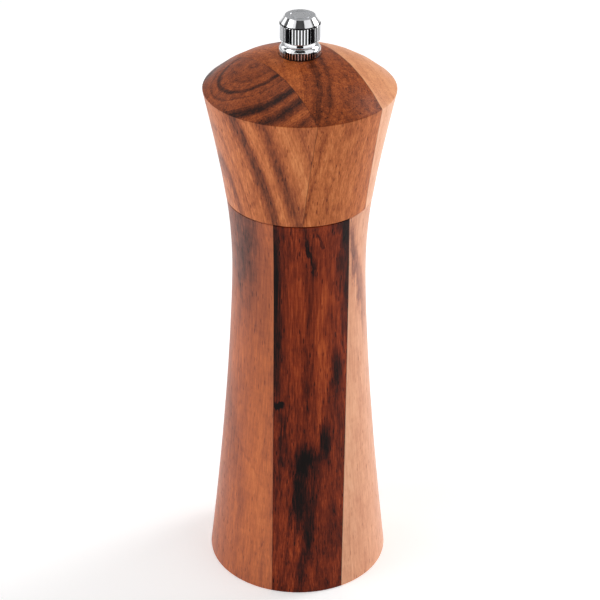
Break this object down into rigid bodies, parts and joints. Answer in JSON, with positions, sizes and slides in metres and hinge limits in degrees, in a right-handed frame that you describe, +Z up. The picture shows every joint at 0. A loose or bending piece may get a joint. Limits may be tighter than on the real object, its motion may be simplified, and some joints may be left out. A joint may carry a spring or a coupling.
{
  "type": "pepper mill",
  "caption": "Tall waisted mill in laminated wood whose head turns a ceramic grinder, with a knurled metal top knob that sets how fine it grinds.",
  "frame": {"origin": "centre of the base, on the surface that the mill stands on", "axes": "+Z up along the mill's turning axis, +X to the right and -Y towards the viewer"},
  "size_m": [0.0658, 0.0658, 0.2144],
  "materials": {
    "acacia_orange": "satin oiled",
    "acacia_red": "satin oiled",
    "acacia_light": "satin oiled",
    "knob_chrome": "polished, knurled",
    "shaft_alloy": "drawn",
    "stainless": "brushed",
    "white_ceramic": "fired, unglazed",
    "nylon": "moulded",
    "black_plastic": "moulded"
  },
  "bodies": {
    "body": {"body_stave_left": "acacia_orange", "body_stave_middle": "acacia_red", "body_stave_right": "acacia_light", "bridge_plate": "stainless", "grinder_housing": "black_plastic", "housing_screws": "stainless", "housing_screw_washers": "stainless", "stator": "white_ceramic", "stator_circlip": "stainless"},
    "bush": {"guide_bush": "nylon", "guide_bush_clip": "stainless", "spring": "stainless"},
    "shaft": {"drive_shaft": "shaft_alloy", "rotor": "white_ceramic", "rotor_hub": "nylon", "shaft_end_washer": "stainless", "shaft_end_screw": "stainless"},
    "head": {"head_stave_left": "acacia_orange", "head_stave_middle": "acacia_red", "head_stave_right": "acacia_light", "turn_plate": "stainless", "turn_plate_screws": "stainless", "knob_washer": "black_plastic"},
    "knob": {"knob": "knob_chrome"}
  },
  "joints": [
    {"name": "head_turn", "type": "hinge", "parent": "body", "child": "bush", "pos_m": [0, 0, 0.033], "axis": [0, 0, 1], "continuous": true},
    {"name": "grind_adjust", "type": "slide", "parent": "bush", "child": "shaft", "axis": [0, 0, 1], "range_m": [0, 0.0012], "deforming": ["spring"]},
    {"name": "head_lift", "type": "slide", "parent": "bush", "child": "head", "axis": [0, 0, 1], "range_m": [0, 0.09]},
    {"name": "knob_turn", "type": "hinge", "parent": "head", "child": "knob", "pos_m": [0, 0, 0.208], "axis": [0, 0, 1], "range_deg": [-540, 0]}
  ],
  "couplings": [
    {"joint": "grind_adjust", "follows": "knob_turn", "m_per_rad": -0.00012732}
  ]
}
